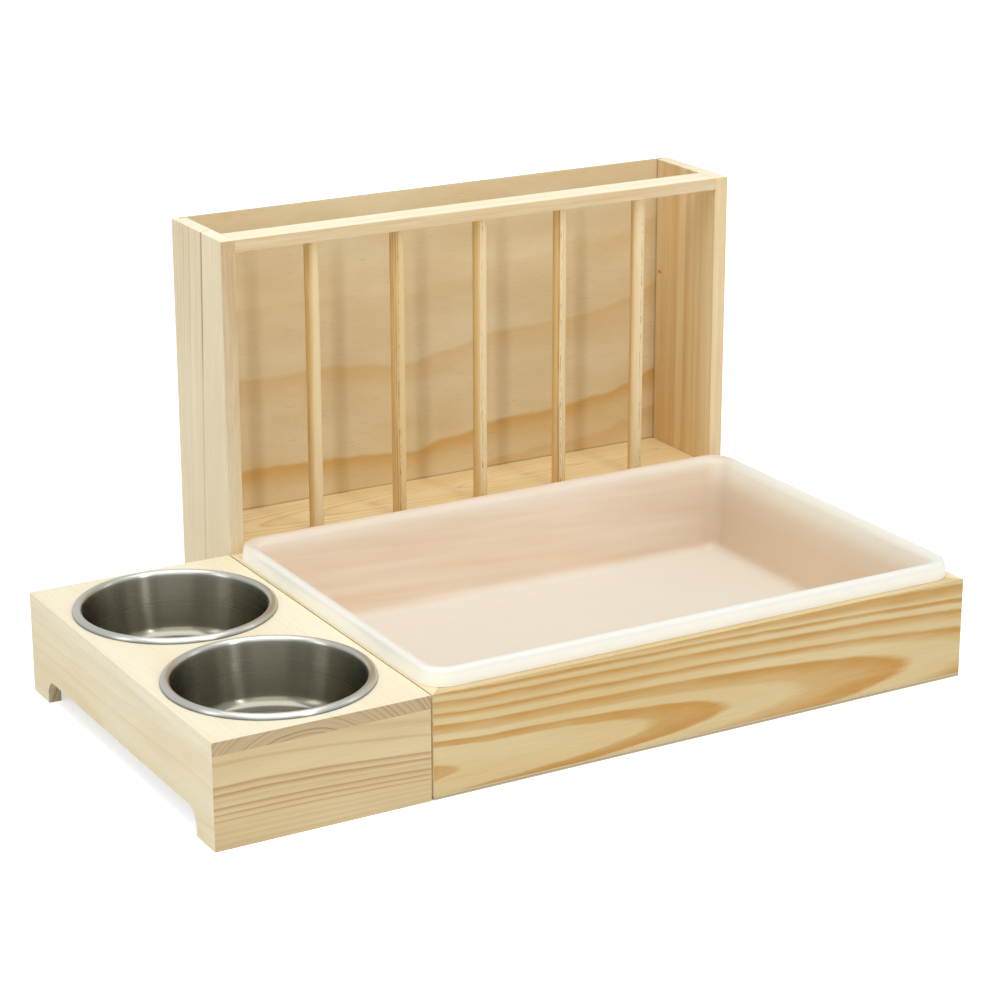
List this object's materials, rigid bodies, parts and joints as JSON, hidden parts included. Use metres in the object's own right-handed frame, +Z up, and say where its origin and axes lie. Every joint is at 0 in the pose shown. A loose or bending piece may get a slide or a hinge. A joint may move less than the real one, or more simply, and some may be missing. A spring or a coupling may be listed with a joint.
{
  "type": "hay feeder box",
  "caption": "Low wooden feeding set for small animals: a barred hay rack behind a framed lift-out litter tray, and a stand with hanging steel bowls beside it.",
  "frame": {"origin": "on the ground, in the middle of the whole set's footprint, as seen from above", "axes": "+Z up, the front faces -Y, the bowl stand is on the -X side and the hay rack on the +Y side"},
  "size_m": [0.6316, 0.424, 0.332],
  "materials": {
    "stand_pine": "planed, clear satin",
    "frame_pine": "planed, clear satin",
    "rack_pine": "planed, clear satin",
    "bar_pine": "turned, bare",
    "joint_pin_wood": "bare",
    "plywood": "sanded, bare",
    "bowl_steel": "polished stainless steel",
    "milky_plastic": "milky white, soft gloss",
    "pin_steel": "bright steel"
  },
  "bodies": {
    "frame": {"frame_front_board": "frame_pine", "frame_back_board": "frame_pine", "frame_left_board": "frame_pine", "frame_right_board": "frame_pine", "base_panel": "plywood", "base_panel_pins": "pin_steel", "rack_left_side": "rack_pine", "rack_right_side": "rack_pine", "rack_back_panel": "plywood", "back_panel_pins": "pin_steel", "rack_floor": "rack_pine", "rack_top_rail": "rack_pine", "rack_joint_pins": "joint_pin_wood", "hay_bar_1": "bar_pine", "hay_bar_2": "bar_pine", "hay_bar_3": "bar_pine", "hay_bar_4": "bar_pine", "hay_bar_5": "bar_pine"},
    "tray": {"litter_tray": "milky_plastic"},
    "stand": {"stand_top": "stand_pine", "stand_front_board": "stand_pine", "stand_back_board": "stand_pine", "stand_left_side": "stand_pine", "stand_right_side": "stand_pine", "stand_joint_pins": "joint_pin_wood"},
    "bowl_front": {"bowl_front": "bowl_steel"},
    "bowl_rear": {"bowl_rear": "bowl_steel"}
  },
  "joints": [
    {"name": "tray_lift", "type": "slide", "parent": "frame", "child": "tray", "axis": [0, 0, 1], "range_m": [0, 0.1]},
    {"name": "stand_pull", "type": "slide", "parent": "frame", "child": "stand", "axis": [-1, 0, 0], "range_m": [0, 0.1]},
    {"name": "bowl_front_lift", "type": "slide", "parent": "stand", "child": "bowl_front", "axis": [0, 0, 1], "range_m": [0, 0.06]},
    {"name": "bowl_rear_lift", "type": "slide", "parent": "stand", "child": "bowl_rear", "axis": [0, 0, 1], "range_m": [0, 0.06]}
  ]
}
